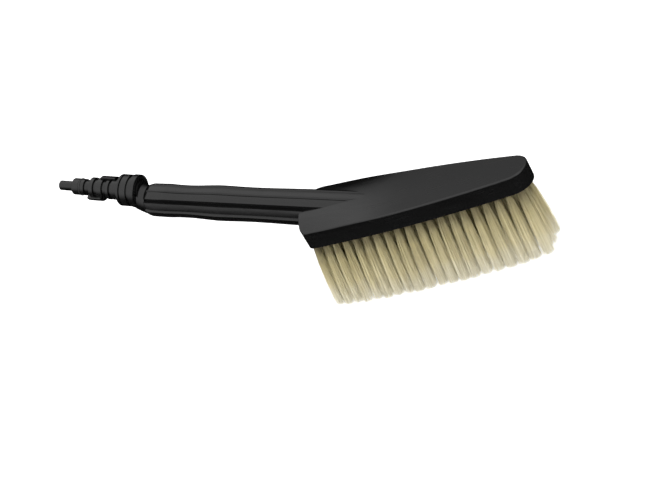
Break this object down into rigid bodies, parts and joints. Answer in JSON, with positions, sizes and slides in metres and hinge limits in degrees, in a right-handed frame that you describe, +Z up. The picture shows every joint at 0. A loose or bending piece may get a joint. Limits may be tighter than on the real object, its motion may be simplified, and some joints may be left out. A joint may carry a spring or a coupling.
{
  "type": "water-fed wash brush",
  "caption": "Water-fed wash brush with a hollow fluted handle, a flat-iron shaped head of soft cream tufts, and a bayonet inlet held by a union collar.",
  "frame": {"origin": "on the plane of the tuft tips, under the middle of the whole brush's box", "axes": "+X along the head to its pointed end, with the handle rising towards -X; +Y across the head; +Z up from the tuft tips to the top of the head"},
  "size_m": [0.4906, 0.0864, 0.187],
  "materials": {
    "body_plastic": "fine-textured black moulded plastic, satin on the handle ridges",
    "fitting_plastic": "black glass-filled plastic, slightly shinier than the body",
    "bristle": "straight cream synthetic filaments with split pale tips",
    "seal_rubber": "smooth black sealing rubber",
    "screw_steel": "stainless screw steel",
    "anchor_metal": "flat stainless anchor wire",
    "strainer_steel": "fine stainless gauze",
    "ring_steel": "sprung stainless retaining ring",
    "ring_plastic": "smooth low-friction natural plastic",
    "jet_brass": "turned brass",
    "tube_plastic": "extruded grey water tube"
  },
  "bodies": {
    "brush": {"brush_body": "body_plastic", "end_cap_o_ring": "seal_rubber", "feed_tube": "tube_plastic", "feed_tube_front_o_ring": "seal_rubber", "feed_tube_rear_o_ring": "seal_rubber", "handle_end_cap": "fitting_plastic", "inlet_spigot": "fitting_plastic", "inlet_strainer": "strainer_steel", "plate_gasket": "seal_rubber", "plate_screws": "screw_steel", "retaining_ring": "ring_steel", "shoulder_o_ring": "seal_rubber", "spigot_tail_o_ring": "seal_rubber", "spray_jet_1": "jet_brass", "spray_jet_2": "jet_brass", "spray_jet_3": "jet_brass", "spray_jet_4": "jet_brass", "tuft_anchors": "anchor_metal", "tuft_front_row_1": "bristle", "tuft_front_row_2": "bristle", "tuft_front_row_3": "bristle", "tuft_middle_row": "bristle", "tuft_plate": "body_plastic", "tuft_rear_row_1": "bristle", "tuft_rear_row_2": "bristle", "tuft_rear_row_3": "bristle", "union_washer": "seal_rubber"},
    "thrust_ring": {"thrust_ring": "ring_plastic"},
    "union_collar": {"union_collar": "fitting_plastic"}
  },
  "joints": [
    {"name": "collar_lift", "type": "slide", "parent": "brush", "child": "thrust_ring", "axis": [-0.9494, 0, 0.314], "range_m": [0, 0.0045]},
    {"name": "collar_turn", "type": "hinge", "parent": "thrust_ring", "child": "union_collar", "pos_m": [-0.17042, 0, 0.15798], "axis": [-0.9494, 0, 0.314], "range_deg": [0, 360]}
  ],
  "couplings": [
    {"joint": "collar_lift", "follows": "collar_turn", "m_per_rad": 0.0007162}
  ]
}
